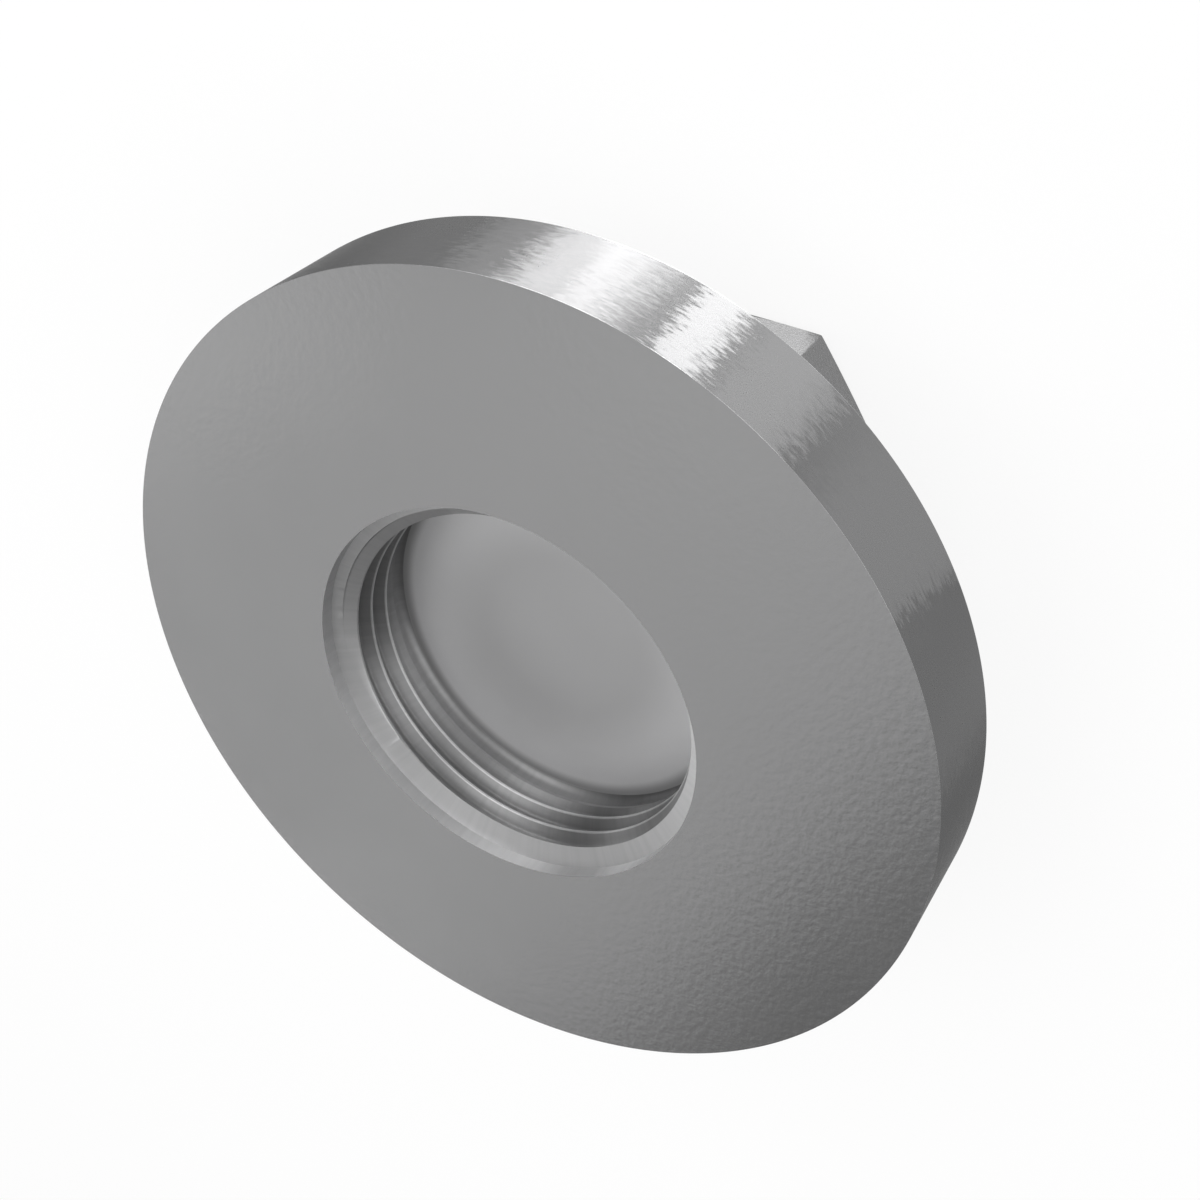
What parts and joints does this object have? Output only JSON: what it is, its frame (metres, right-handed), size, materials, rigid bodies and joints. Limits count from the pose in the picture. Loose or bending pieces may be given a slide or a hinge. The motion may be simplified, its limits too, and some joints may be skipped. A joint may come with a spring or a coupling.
{
  "type": "weld nut",
  "caption": "Steel weld nut with a round flange, a chamfered hexagon behind it and a blind metric thread that opens in the flange's face.",
  "frame": {"origin": "centre of the hexagon's end face, on which the nut stands", "axes": "+Z along the axis of the thread, from the hexagon's end to the flange and out of the mouth; +X through a corner of the hexagon"},
  "size_m": [0.053, 0.053, 0.0237],
  "materials": {
    "steel": "plain satin steel, as turned, with a fine grain"
  },
  "bodies": {
    "root": {"weld_nut": "steel"}
  },
  "joints": []
}
